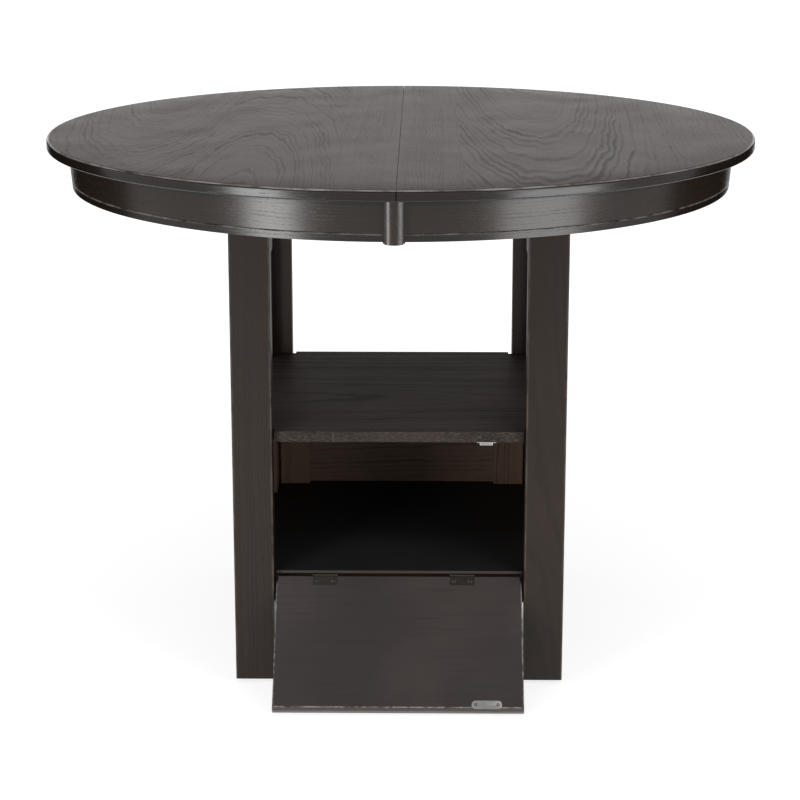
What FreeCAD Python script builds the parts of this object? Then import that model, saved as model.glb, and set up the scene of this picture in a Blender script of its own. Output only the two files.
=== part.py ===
"""Round extending kitchen table on a square storage base, as a parametric document in millimetres.

The base is four L-shaped legs joined by rails, with an open shelf and a cabinet whose front drops
down on two butt hinges. The round top is two halves on wooden runners, which slide apart along X.
X is to the right, Y to the back, Z up, and the origin is on the floor under the middle of the top.
"""
import FreeCAD
import Part
import Sketcher
import os
import re

SIZES = {
    # Whole table
    "table_height": 914.4,
    "top_diameter": 1219.2,
    "top_thickness": 18.0,
    "seam_gap": 0.6,
    "rim_upper_bevel": 3.5,
    "rim_lower_bevel": 2.5,
    "overrun": 5.0,
    # Ring under the top
    "apron_setback": 35.6,
    "apron_taper": 6.0,
    "apron_height": 67.0,
    "apron_wall": 18.0,
    "apron_groove_height": 12.0,
    "apron_groove_width": 2.4,
    "apron_groove_depth": 1.6,
    # Bull-nosed moulding over the split in the ring
    "moulding_width": 33.0,
    "moulding_back": 2.6,
    "moulding_flank": 14.2,
    "moulding_side": 5.0,
    "moulding_crown": 5.5,
    "moulding_offset": 3.6,
    "moulding_drop": 1.5,
    "moulding_gap": 0.3,
    # Pegs that line up the two halves
    "peg_diameter": 9.0,
    "peg_reach": 20.0,
    "peg_spacing": 350.0,
    "peg_fit": 0.05,
    "peg_clearance": 0.4,
    # Square base
    "base_width": 556.0,
    "leg_width": 67.0,
    "leg_board": 32.0,
    "leg_edge_round": 2.5,
    "glide_height": 7.0,
    "glide_diameter": 44.0,
    "glide_inset": 38.0,
    "block_length": 126.0,
    "block_chamfer": 14.0,
    "foot_block_height": 55.0,
    "rail_height": 80.0,
    "rail_thickness": 20.0,
    "rail_setback": 8.0,
    # Runners that carry the top
    "slide_height": 40.0,
    "slide_width": 36.0,
    "slide_setback": 13.0,
    "slide_offset": 170.0,
    "slide_clearance": 0.5,
    "runner_width": 22.0,
    "runner_end_gap": 56.0,
    "runner_inner_reach": 190.0,
    "tongue_depth": 8.0,
    "tongue_root": 9.0,
    "tongue_tip": 14.0,
    # Shelf and cabinet
    "shelf_height": 443.0,
    "shelf_thickness": 18.0,
    "shelf_rear_reach": 12.0,
    "shelf_rear_gap": 7.0,
    "panel_gap": 3.0,
    "fit_gap": 0.5,
    "floor_height": 197.0,
    "floor_thickness": 4.5,
    "floor_rail_setback": 25.0,
    "floor_rail_thickness": 18.0,
    "skirt_depth": 62.0,
    "panel_thickness": 12.0,
    "panel_recess": 15.0,
    "cleat_width": 56.0,
    "cleat_thickness": 15.0,
    "back_cleat_inset": 4.0,
    # Drop front
    "door_setback": 16.2,
    "door_thickness": 16.0,
    "door_side_gap": 3.5,
    "door_top_gap": 3.0,
    "door_edge_bevel": 3.0,
    "door_floor_gap": 1.3,
    "door_ground_gap": 1.5,
    "hinge_width": 42.0,
    "hinge_inset": 91.5,
    "hinge_offset": 9.0,
    "hinge_leaf": 1.2,
    "hinge_leaf_length": 18.0,
    "hinge_knuckle": 14.0,
    "hinge_play": 0.4,
    "knuckle_radius": 2.5,
    "pin_radius": 1.2,
    "pin_clearance": 0.05,
    # Magnetic catch
    "catch_inset": 61.5,
    "catch_width": 34.0,
    "catch_height": 6.0,
    "catch_depth": 14.0,
    "catch_setback": 0.6,
    "strike_width": 50.0,
    "strike_height": 14.0,
    "strike_thickness": 1.2,
    "strike_edge": 3.5,
}

doc = FreeCAD.newDocument("RoundTable")
sheet = doc.addObject("Spreadsheet::Sheet", "Sizes")
for row, (alias, value) in enumerate(SIZES.items(), start=1):
    sheet.set(f"A{row}", alias)
    sheet.set(f"B{row}", str(value))
    sheet.setAlias(f"B{row}", alias)
doc.recompute()

# Places that several pieces share, each a formula on the sizes
FORMULAS = {
    "half_base": "base_width / 2",
    "inner_face": "base_width / 2 - leg_board",
    "leg_edge": "base_width / 2 - leg_width",
    "top_under": "table_height - top_thickness",
    "apron_upper_radius": "top_diameter / 2 - apron_setback",
    "apron_lower_radius": "top_diameter / 2 - apron_setback - apron_taper",
    "runner_outer_reach": "top_diameter / 2 - apron_setback - apron_wall - runner_end_gap",
    "apron_under": "table_height - top_thickness - apron_height",
    "frame_top": "table_height - top_thickness - slide_height",
    "shelf_under": "shelf_height - shelf_thickness",
    "floor_under": "floor_height - floor_thickness",
    "skirt_under": "floor_height - floor_thickness - skirt_depth",
    "pin_y": "door_setback - base_width / 2",
    "pin_z": "floor_height - floor_thickness - knuckle_radius",
    "front_edge": "base_width / 2 - door_setback - door_floor_gap",
    "side_inside": "base_width / 2 - panel_recess - panel_thickness",
    "back_front": "base_width / 2 - leg_width + fit_gap",
    "slide_length": "base_width - 2 * slide_setback",
    "door_half": "base_width / 2 - leg_width - door_side_gap",
    "hinge_reach": "base_width / 2 - leg_width - door_side_gap - hinge_inset",
    "catch_offset": "base_width / 2 - leg_width - door_side_gap - catch_inset",
    "door_foot": "knuckle_radius + hinge_play",
    "door_head": "shelf_under - door_top_gap - pin_z",
}
# Lengths closer than this count as the same when edges are chosen
TINY = 1e-4
HALF_TURN = 180
QUARTER_TURN = 90


def formula(text):
    """Turns words of the size list and of FORMULAS into an expression on the sheet."""
    def swap(match):
        word = match.group()
        if word in FORMULAS:
            return f"({formula(FORMULAS[word])})"
        return f"Sizes.{word}" if word in SIZES else word
    return re.sub(r"[a-z_]+", swap, str(text))


def number(text):
    """The present value of a formula, for first guesses and for choosing edges."""
    return float(sheet.evalExpression(formula(text)))


def bind(target, path, text):
    """Binds a property to a formula, or leaves it at zero."""
    if str(text) != "0":
        target.setExpression(path, formula(text))


def place(piece, x=0, y=0, z=0):
    """Binds where a piece stands."""
    for axis, text in zip("xyz", (x, y, z)):
        bind(piece, f"Placement.Base.{axis}", text)


def new_body(name):
    """A sub-part named for its file."""
    body = doc.addObject("PartDesign::Body", name)
    body.Label = name
    return body


def new_sketch(body, plane, name):
    """A sketch on one of the body's own planes."""
    sketch = body.newObject("Sketcher::SketchObject", f"{body.Name}_{name}")
    support = next(part for part in body.Origin.OriginFeatures if part.Role == plane)
    sketch.AttachmentSupport = [(support, "")]
    sketch.MapMode = "FlatFace"
    return sketch


def pin_point(sketch, geometry, end, x, y):
    """Holds a point of a sketch at two formulas, on an axis where one is zero, or free where it is None."""
    for text, kind, axis in ((x, "DistanceX", -2), (y, "DistanceY", -1)):
        if text is None:
            continue
        if str(text) == "0":
            sketch.addConstraint(Sketcher.Constraint("PointOnObject", geometry, end, axis))
            continue
        index = sketch.addConstraint(Sketcher.Constraint(kind, -1, 1, geometry, end, number(text)))
        sketch.setExpression(f"Constraints[{index}]", formula(text))


def draw_outline(sketch, points):
    """A closed outline of straight edges through points given as pairs of formulas."""
    start = sketch.GeometryCount
    corners = [FreeCAD.Vector(number(x), number(y), 0) for x, y in points]
    count = len(corners)
    for i in range(count):
        sketch.addGeometry(Part.LineSegment(corners[i], corners[(i + 1) % count]))
    for i in range(count):
        sketch.addConstraint(Sketcher.Constraint("Coincident", start + i, 2, start + (i + 1) % count, 1))
    for i, (x, y) in enumerate(points):
        pin_point(sketch, start + i, 1, x, y)


def draw_circle(sketch, x, y, radius):
    """A circle held at two formulas."""
    start = FreeCAD.Vector(number(x), number(y), 0)
    circle = sketch.addGeometry(Part.Circle(start, FreeCAD.Vector(0, 0, 1), number(radius)))
    pin_point(sketch, circle, 3, x, y)
    index = sketch.addConstraint(Sketcher.Constraint("Radius", circle, number(radius)))
    sketch.setExpression(f"Constraints[{index}]", formula(radius))


def padded(name, plane, points, length, both_ways=False):
    """A body made by carrying an outline along the normal of its plane."""
    body = new_body(name)
    sketch = new_sketch(body, plane, "outline")
    draw_outline(sketch, points)
    pad = body.newObject("PartDesign::Pad", f"{name}_pad")
    pad.Profile = sketch
    pad.Midplane = both_ways
    bind(pad, "Length", length)
    doc.recompute()
    return body


def turned(name, points, reversed_turn):
    """A half ring or half disc: an outline of radius and height turned half round the Z axis."""
    body = new_body(name)
    sketch = new_sketch(body, "YZ_Plane", "section")
    draw_outline(sketch, points)
    turn = body.newObject("PartDesign::Revolution", f"{name}_turn")
    turn.Profile = sketch
    turn.ReferenceAxis = (sketch, ["V_Axis"])
    turn.Angle = HALF_TURN
    turn.Reversed = reversed_turn
    doc.recompute()
    return body


def edge_names(body, test):
    """The names of a body's present edges that pass a test."""
    return [f"Edge{i}" for i, edge in enumerate(body.Shape.Edges, start=1) if test(edge)]


def dress(body, kind, names, size):
    """A fillet or a chamfer on chosen edges of a body."""
    base = body.Tip
    feature = body.newObject(f"PartDesign::{kind}", f"{body.Name}_{kind.lower()}_{len(body.Group)}")
    feature.Base = (base, names)
    bind(feature, "Radius" if kind == "Fillet" else "Size", size)
    doc.recompute()


def pocket(body, plane, draw, length, reversed_cut):
    """Cuts a sketch into a body and makes sure that it took something away."""
    before = body.Shape.Volume
    sketch = new_sketch(body, plane, f"cut_{len(body.Group)}")
    draw(sketch)
    cut = body.newObject("PartDesign::Pocket", f"{body.Name}_pocket_{len(body.Group)}")
    cut.Profile = sketch
    cut.Reversed = reversed_cut
    bind(cut, "Length", length)
    doc.recompute()
    if body.Shape.Volume >= before:
        raise ValueError(f"{body.Label}: the cut took nothing away")


def block(name, length, width, height, x, y, z):
    """A plain board with its lowest corner at x, y, z."""
    piece = doc.addObject("Part::Box", name)
    piece.Label = name
    bind(piece, "Length", length)
    bind(piece, "Width", width)
    bind(piece, "Height", height)
    place(piece, x, y, z)
    return piece


SIDES = {"left": -1, "right": 1}
ENDS = {"front": -1, "rear": 1}
parts = []


def flat(edge, height):
    """Whether an edge lies level at a height."""
    box = edge.BoundBox
    return abs(box.ZMin - height) < TINY and abs(box.ZMax - height) < TINY


def is_round_of(edge, radius):
    """Whether an edge is an arc of a radius about an upright axis."""
    return isinstance(edge.Curve, Part.Circle) and abs(edge.Curve.Radius - radius) < TINY


def make_top(side):
    """Half of the round top, bevelled along both edges of its rim and holed for the pegs."""
    sign = SIDES[side]
    radius = "top_diameter / 2"
    body = turned(f"{side}_top", [("0", "top_under"), (radius, "top_under"),
                                  (radius, "table_height"), ("0", "table_height")], sign > 0)
    for height, size in (("table_height", "rim_upper_bevel"), ("top_under", "rim_lower_bevel")):
        level = number(height)
        rim = edge_names(body, lambda edge: flat(edge, level) and is_round_of(edge, number(radius)))
        dress(body, "Chamfer", rim, size)
    bore = "peg_diameter / 2 + " + ("peg_fit" if side == "left" else "peg_clearance")

    def draw(sketch):
        for y in ("-peg_spacing", "0", "peg_spacing"):
            draw_circle(sketch, y, "table_height - top_thickness / 2", bore)

    pocket(body, "YZ_Plane", draw, "peg_reach + peg_clearance", sign > 0)
    place(body, x=f"{sign} * seam_gap / 2")
    parts.append(body)


def make_apron(side):
    """Half of the ring under the top: it draws in downwards and has a groove near its lower edge."""
    sign = SIDES[side]
    slope = "apron_taper / apron_height"

    def outer(height):
        return f"apron_lower_radius + ({height}) * {slope}"

    lower = "apron_groove_height - apron_groove_width / 2"
    upper = "apron_groove_height + apron_groove_width / 2"
    body = turned(f"{side}_apron", [
        ("apron_upper_radius - apron_wall", "top_under"),
        ("apron_upper_radius", "top_under"),
        (outer(upper), f"apron_under + {upper}"),
        (outer("apron_groove_height") + " - apron_groove_depth", "apron_under + apron_groove_height"),
        (outer(lower), f"apron_under + {lower}"),
        ("apron_lower_radius", "apron_under"),
        ("apron_lower_radius - apron_wall", "apron_under")], sign > 0)
    place(body, x=f"{sign} * seam_gap / 2")
    parts.append(body)


def make_moulding(end):
    """The strip that hides the split in the ring: a flange and an arched front, leaning as the ring does."""
    sign = ENDS[end]
    body = new_body(f"{end}_moulding")
    sketch = new_sketch(body, "XY_Plane", "section")
    half, flank = "moulding_width / 2", "moulding_flank"
    back = f"{sign} * moulding_back"
    shoulder = f"{sign} * (moulding_back + moulding_side)"
    rim = [(f"-{half}", "0"), (half, "0"), (half, back), (flank, back), (flank, shoulder),
           (f"-{flank}", shoulder), (f"-{flank}", back), (f"-{half}", back)]
    spots = [FreeCAD.Vector(number(x), number(y), 0) for x, y in rim]
    crown = FreeCAD.Vector(0, sign * number("moulding_back + moulding_side + moulding_crown"), 0)
    first, last = (1, 2) if sign > 0 else (2, 1)
    arc, count = 4, len(spots)
    for i in range(count):
        if i == arc:
            sketch.addGeometry(Part.Arc(spots[i], crown, spots[i + 1]))
        else:
            sketch.addGeometry(Part.LineSegment(spots[i], spots[(i + 1) % count]))
    for i in range(count):
        after = (i + 1) % count
        leave, enter = last if i == arc else 2, first if after == arc else 1
        sketch.addConstraint(Sketcher.Constraint("Coincident", i, leave, after, enter))
    for i, (x, y) in enumerate(rim):
        pin_point(sketch, i, first if i == arc else 1, x, y)
    bend = "(moulding_flank ^ 2 + moulding_crown ^ 2) / (2 * moulding_crown)"
    pin_point(sketch, arc, 3, None, f"{sign} * (moulding_back + moulding_side + moulding_crown - {bend})")
    pad = body.newObject("PartDesign::Pad", f"{end}_moulding_pad")
    pad.Profile = sketch
    lean = "atan(apron_taper / apron_height)"
    bind(pad, "Length", f"(apron_height + moulding_drop - moulding_gap) / cos({lean})"
                        f" - (moulding_back + moulding_side + moulding_crown) * tan({lean})")
    body.Placement.Rotation = FreeCAD.Rotation(FreeCAD.Vector(1, 0, 0), 1)
    bind(body, "Placement.Rotation.Angle", f"{-sign} * {lean}")
    foot = "apron_lower_radius - moulding_drop * apron_taper / apron_height"
    place(body, "-moulding_offset", f"{sign} * ({foot} + moulding_gap)", "apron_under - moulding_drop")
    doc.recompute()
    parts.append(body)


def make_pegs():
    """Three pegs, fixed in the left half and free in the right."""
    pegs = []
    for i, y in enumerate(("-peg_spacing", "0", "peg_spacing")):
        peg = doc.addObject("Part::Cylinder", f"peg_{i}")
        bind(peg, "Radius", "peg_diameter / 2")
        bind(peg, "Height", "2 * peg_reach")
        peg.Placement.Rotation = FreeCAD.Rotation(FreeCAD.Vector(0, 1, 0), QUARTER_TURN)
        place(peg, "-peg_reach", y, "table_height - top_thickness / 2")
        pegs.append(peg)
    group = doc.addObject("Part::Compound", "alignment_pegs")
    group.Label = "alignment_pegs"
    group.Links = pegs
    parts.append(group)


def tongue(sign, edge, grow):
    """Outline points of a dovetail: from an upright edge outwards, wider at its tip."""
    middle = "top_under - slide_height / 2"
    root, tip = f"(tongue_root / 2 + {grow})", f"(tongue_tip / 2 + {grow})"
    far = f"{edge} + {sign} * (tongue_depth + {grow})"
    return [(edge, f"{middle} - {root}"), (far, f"{middle} - {tip}"),
            (far, f"{middle} + {tip}"), (edge, f"{middle} + {root}")]


def make_slides(end):
    """A grooved rail on the base, with a runner of each half of the top in its two grooves."""
    sign = ENDS[end]
    middle = f"{sign} * slide_offset"
    lower, upper = "frame_top", "top_under - slide_clearance"
    near, far = f"{middle} - slide_width / 2", f"{middle} + slide_width / 2"
    rail = padded(f"{end}_slide_rail", "YZ_Plane", [
        (near, lower), (far, lower), *tongue(-1, far, "slide_clearance"), (far, upper), (near, upper),
        *reversed(tongue(1, near, "slide_clearance"))], "slide_length", both_ways=True)
    parts.append(rail)
    for side, turn in SIDES.items():
        outward = -turn * sign
        face = f"{middle} + {outward} * (slide_width / 2 + slide_clearance)"
        back = f"{face} + {outward} * runner_width"
        foot = "frame_top + slide_clearance"
        points = [(back, foot), (face, foot), *tongue(-outward, face, "0"), (face, "top_under"),
                  (back, "top_under")]
        runner = padded(f"{side}_{end}_runner", "YZ_Plane", points,
                        "runner_outer_reach + runner_inner_reach")
        relief = ("-overrun", "runner_inner_reach + slide_clearance")
        if turn < 0:
            relief = ("runner_outer_reach - slide_clearance",
                      "runner_outer_reach + runner_inner_reach + overrun")

        def draw(sketch):
            level, above = "top_under - slide_clearance", "top_under + overrun"
            low, high = relief
            draw_outline(sketch, [(low, level), (high, level), (high, above), (low, above)])

        cut_across(runner, draw)
        place(runner, x="-runner_inner_reach" if turn > 0 else "-runner_outer_reach")
        parts.append(runner)


def cut_across(body, draw):
    """Cuts an outline right through a body along Y, both ways."""
    before = body.Shape.Volume
    sketch = new_sketch(body, "XZ_Plane", "relief")
    draw(sketch)
    cut = body.newObject("PartDesign::Pocket", f"{body.Name}_relief")
    cut.Profile = sketch
    cut.Type = "ThroughAll"
    cut.Midplane = True
    doc.recompute()
    if body.Shape.Volume >= before:
        raise ValueError(f"{body.Label}: the relief took nothing away")


def make_leg(end, side):
    """An L-shaped leg of two boards with its upright edges eased."""
    across, along = SIDES[side], ENDS[end]

    def spot(x, y):
        return f"{across} * ({x})", f"{along} * ({y})"

    points = [spot("half_base", "half_base"), spot("leg_edge", "half_base"),
              spot("leg_edge", "inner_face"), spot("inner_face", "inner_face"),
              spot("inner_face", "leg_edge"), spot("half_base", "leg_edge")]
    if across * along > 0:
        points.reverse()
    leg = padded(f"{end}_{side}_leg", "XY_Plane", points, "frame_top - glide_height")
    edge, outer = number("leg_edge"), number("half_base")

    def eased(edge_of_leg):
        box = edge_of_leg.BoundBox
        if box.ZLength < box.XLength + box.YLength:
            return False
        x, y = abs(box.Center.x), abs(box.Center.y)
        return max(x, y) > outer - TINY and min(x, y) > edge - TINY

    dress(leg, "Fillet", edge_names(leg, eased), "leg_edge_round")
    place(leg, z="glide_height")
    parts.append(leg)
    make_corner(end, side)


def corner_piece(name, end, side, foot, head, cut):
    """A block in the angle of a leg; cut takes the inner end of one of its levels up or down."""
    inner, outer = f"{SIDES[side]} * leg_edge", f"{SIDES[side]} * inner_face"
    low, high = ("", cut) if cut.startswith("-") else (cut, "")
    piece = padded(name, "XZ_Plane", [
        (outer, foot), (inner, f"{foot} {low}"), (inner, f"{head} {high}"), (outer, head)],
        "leg_width - leg_board")
    place(piece, y="-leg_edge" if ENDS[end] < 0 else "inner_face")
    parts.append(piece)


def make_corner(end, side):
    """The blocks inside the head and the foot of a leg, and the glide under it."""
    across, along = SIDES[side], ENDS[end]
    corner_piece(f"{end}_{side}_corner_block", end, side, "frame_top - block_length", "frame_top",
                 "+ block_chamfer")
    corner_piece(f"{end}_{side}_foot_block", end, side, "glide_height", "glide_height + foot_block_height",
                 "- block_chamfer")
    glide = doc.addObject("Part::Cylinder", f"{end}_{side}_glide")
    glide.Label = f"{end}_{side}_glide"
    bind(glide, "Radius", "glide_diameter / 2")
    bind(glide, "Height", "glide_height")
    inset = "(half_base - glide_inset)"
    place(glide, f"{across} * {inset}", f"{along} * {inset}")
    parts.append(glide)


def make_rails():
    """Four rails between the heads of the legs."""
    lower = "frame_top - rail_height"
    span = "2 * leg_edge"
    inside = "half_base - rail_setback - rail_thickness"
    for end, sign in ENDS.items():
        y = inside if sign > 0 else f"-({inside}) - rail_thickness"
        parts.append(block(f"{end}_top_rail", span, "rail_thickness", "rail_height", "-leg_edge", y, lower))
    for side, sign in SIDES.items():
        x = inside if sign > 0 else f"-({inside}) - rail_thickness"
        parts.append(block(f"{side}_top_rail", "rail_thickness", span, "rail_height", x, "-leg_edge", lower))


def mirrored(points):
    """An outline closed by the mirror image of its right-hand half."""
    return points + [(f"-({x})", y) for x, y in reversed(points)]


def make_shelf():
    """The shelf, notched round all four legs, with a shallow tongue between the rear pair."""
    throat, reach = "leg_edge - panel_gap", "inner_face - fit_gap"
    wing = "half_base - panel_recess"
    rear = "leg_edge - shelf_rear_gap"
    right = [(throat, "-(front_edge)"), (throat, f"-({reach})"), (reach, f"-({reach})"),
             (reach, f"-({throat})"), (wing, f"-({throat})"), (wing, throat), (reach, throat),
             (reach, reach), (rear, reach), (rear, "inner_face + shelf_rear_reach")]
    shelf = padded("shelf", "XY_Plane", mirrored(right), "shelf_thickness")
    place(shelf, z="shelf_under")
    parts.append(shelf)


def make_cabinet():
    """The thin floor on its two rails, the side and back panels, and the cleats in the corners."""
    throat, reach = "leg_edge - panel_gap", "inner_face - fit_gap"
    right = [(throat, "-(front_edge)"), (throat, f"-({reach})"), (reach, f"-({reach})"),
             (reach, f"-({throat})"), ("side_inside", f"-({throat})"), ("side_inside", throat),
             (reach, throat), (reach, "back_front")]
    floor = padded("cabinet_floor", "XY_Plane", mirrored(right), "floor_thickness")
    place(floor, z="floor_under")
    parts.append(floor)
    span = f"2 * ({reach})"
    front_rail = "-(front_edge) + floor_rail_setback"
    parts.append(block("front_floor_rail", span, "floor_rail_thickness", "skirt_depth",
                       f"-({reach})", front_rail, "skirt_under"))
    parts.append(block("rear_floor_rail", span, "floor_rail_thickness", "skirt_depth",
                       f"-({reach})", "back_front - floor_rail_thickness", "skirt_under"))
    tall = "shelf_under - skirt_under"
    for side, sign in SIDES.items():
        x = "side_inside" if sign > 0 else "-(half_base - panel_recess)"
        parts.append(block(f"{side}_side_panel", "panel_thickness", "2 * leg_edge", tall,
                           x, "-leg_edge", "skirt_under"))
    parts.append(block("back_panel", span, "panel_thickness", tall,
                       f"-({reach})", "back_front", "skirt_under"))
    room = "shelf_under - floor_height"
    for side, sign in SIDES.items():
        edge = "side_inside - cleat_thickness"
        x = f"{edge} - back_cleat_inset - cleat_width" if sign > 0 else f"-({edge}) + back_cleat_inset"
        parts.append(block(f"{side}_back_cleat", "cleat_width", "cleat_thickness", room,
                           x, "back_front - cleat_thickness", "floor_height"))
        x = edge if sign > 0 else "-(side_inside)"
        for end, y in (("rear", "back_front - cleat_thickness - cleat_width"), ("front", f"-({throat})")):
            parts.append(block(f"{side}_{end}_side_cleat", "cleat_thickness", "cleat_width", room,
                               x, y, "floor_height"))


def swing(piece, x):
    """Hangs a piece of the drop front, drawn shut about the pin, at its open angle.

    The panel's far corner stands just above the ground, or straight below the pin if it is too short.
    """
    size = "sqrt(door_head ^ 2 + door_thickness ^ 2)"
    lean = f"acos(min((pin_z - door_ground_gap) / {size}; 1)) + atan(door_thickness / door_head)"
    piece.Placement.Rotation = FreeCAD.Rotation(FreeCAD.Vector(1, 0, 0), 1)
    bind(piece, "Placement.Rotation.Angle", f"180 deg - ({lean})")
    place(piece, x, "pin_y", "pin_z")


def make_door():
    """The drop front, mortised for two hinge leaves, with its free edges bevelled inside."""
    outline = [("-door_half", "door_foot"), ("door_half", "door_foot"), ("door_half", "door_head"),
               ("-door_half", "door_head")]
    door = padded("door_panel", "XZ_Plane", outline, "door_thickness")
    head, side = number("door_head"), number("door_half")

    def free_edge(edge):
        box = edge.BoundBox
        inside = abs(box.YMin) < TINY and abs(box.YMax) < TINY
        upper = flat(edge, head)
        flank = box.XLength < TINY and abs(abs(box.XMin) - side) < TINY
        return inside and (upper or flank)

    dress(door, "Chamfer", edge_names(door, free_edge), "door_edge_bevel")

    def draw(sketch):
        for sign in SIDES.values():
            middle = f"{sign} * hinge_reach - hinge_offset"
            low, high = f"{middle} - hinge_width / 2", f"{middle} + hinge_width / 2"
            draw_outline(sketch, [(low, "door_foot - overrun"), (high, "door_foot - overrun"),
                                  (high, "hinge_leaf_length"), (low, "hinge_leaf_length")])

    pocket(door, "XZ_Plane", draw, "hinge_leaf", True)
    swing(door, 0)
    parts.append(door)


def tube(name, length, x):
    """A hinge knuckle along X about the pin, bored for it."""
    outer = doc.addObject("Part::Cylinder", f"{name}_outer")
    bore = doc.addObject("Part::Cylinder", f"{name}_bore")
    for piece, radius in ((outer, "knuckle_radius"), (bore, "pin_radius + pin_clearance")):
        piece.Placement.Rotation = FreeCAD.Rotation(FreeCAD.Vector(0, 1, 0), QUARTER_TURN)
        bind(piece, "Radius", radius)
        bind(piece, "Height", length)
        place(piece, x)
    return outer, bore


def leaf(name, plates, knuckles):
    """A hinge leaf: its plates and rolled knuckles as one solid, bored through for the pin."""
    solids, bores = [], []
    for i, sizes in enumerate(plates):
        solids.append(block(f"{name}_plate_{i}", *sizes))
    for i, (length, x) in enumerate(knuckles):
        outer, bore = tube(f"{name}_knuckle_{i}", length, x)
        solids.append(outer)
        bores.append(bore)
    whole = doc.addObject("Part::MultiFuse", f"{name}_whole")
    whole.Shapes = solids
    hollow = doc.addObject("Part::MultiFuse", f"{name}_hollow") if len(bores) > 1 else bores[0]
    if len(bores) > 1:
        hollow.Shapes = bores
    cut = doc.addObject("Part::Cut", name)
    cut.Label = name
    cut.Base = whole
    cut.Tool = hollow
    cut.Refine = True
    parts.append(cut)
    return cut


def make_hinge(side):
    """A butt hinge: two outer knuckles on the cabinet's leaf, one between them on the door's."""
    middle = f"{SIDES[side]} * hinge_reach - hinge_offset"
    left = "-hinge_width / 2"
    clear = "knuckle_radius + hinge_play"
    centre = "hinge_knuckle / 2"
    outer = "hinge_width / 2 - hinge_knuckle / 2 - hinge_play"
    sheet_z = "knuckle_radius - hinge_leaf"
    fixed = leaf(f"{side}_cabinet_leaf", [
        ("hinge_width", f"hinge_leaf_length - ({clear})", "hinge_leaf", left, clear, sheet_z),
        (outer, clear, "hinge_leaf", left, 0, sheet_z),
        (outer, clear, "hinge_leaf", f"{centre} + hinge_play", 0, sheet_z)],
        [(outer, left), (outer, f"{centre} + hinge_play")])
    place(fixed, middle, "pin_y", "pin_z")
    moving = leaf(f"{side}_door_leaf", [
        ("hinge_width", "hinge_leaf", f"hinge_leaf_length - ({clear})", left, "-hinge_leaf", clear),
        ("hinge_knuckle", "hinge_leaf", clear, f"-{centre}", "-hinge_leaf", 0)],
        [("hinge_knuckle", f"-{centre}")])
    swing(moving, middle)
    pin = doc.addObject("Part::Cylinder", f"{side}_hinge_pin")
    pin.Label = f"{side}_hinge_pin"
    pin.Placement.Rotation = FreeCAD.Rotation(FreeCAD.Vector(0, 1, 0), QUARTER_TURN)
    bind(pin, "Radius", "pin_radius")
    bind(pin, "Height", "hinge_width")
    place(pin, f"{middle} - hinge_width / 2", "pin_y", "pin_z")
    parts.append(pin)


def make_catch():
    """The magnet under the shelf and the round-ended plate that it holds on the door."""
    magnet = block("magnet_catch", "catch_width", "catch_depth", "catch_height",
                   "catch_offset - catch_width / 2", "-(front_edge) + catch_setback",
                   "shelf_under - catch_height")
    parts.append(magnet)
    half, bend = "strike_width / 2 - strike_height / 2", "strike_height / 2"
    level = "door_head - strike_edge - strike_height / 2"
    ends = []
    for i, sign in enumerate(SIDES.values()):
        disc = doc.addObject("Part::Cylinder", f"strike_end_{i}")
        disc.Placement.Rotation = FreeCAD.Rotation(FreeCAD.Vector(1, 0, 0), -QUARTER_TURN)
        bind(disc, "Radius", bend)
        bind(disc, "Height", "strike_thickness")
        place(disc, f"{sign} * ({half})", 0, level)
        ends.append(disc)
    middle = block("strike_middle", f"2 * ({half})", "strike_thickness", "strike_height",
                   f"-({half})", 0, f"{level} - {bend}")
    plate = doc.addObject("Part::MultiFuse", "strike_plate")
    plate.Label = "strike_plate"
    plate.Shapes = [*ends, middle]
    plate.Refine = True
    swing(plate, "catch_offset")
    parts.append(plate)


for side_name in SIDES:
    make_top(side_name)
    make_apron(side_name)
    make_hinge(side_name)
for end_name in ENDS:
    make_moulding(end_name)
    make_slides(end_name)
    for side_name in SIDES:
        make_leg(end_name, side_name)
make_pegs()
make_rails()
make_shelf()
make_cabinet()
make_door()
make_catch()
doc.recompute()

for item in doc.Objects:
    if {"Invalid", "Error"} & set(item.State):
        raise ValueError(f"{item.Name} failed: {item.State}")
for part in parts:
    if part.Shape.isNull() or not part.Shape.isValid():
        raise ValueError(f"{part.Label} has no valid shape")
os.makedirs("parts", exist_ok=True)
for part in parts:
    part.Shape.exportStep(f"parts/{part.Label}.step")
print(len(parts), "sub-parts")
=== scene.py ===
"""Looks of a round extending kitchen table on a square storage base, in dark stained oak.

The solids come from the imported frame, in metres: X to the right, Y to the back, Z up. The halves of the
top, the glides, the catch, the strike plate and all screws are surfaces worked out here from the frame.
"""
import math

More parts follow.
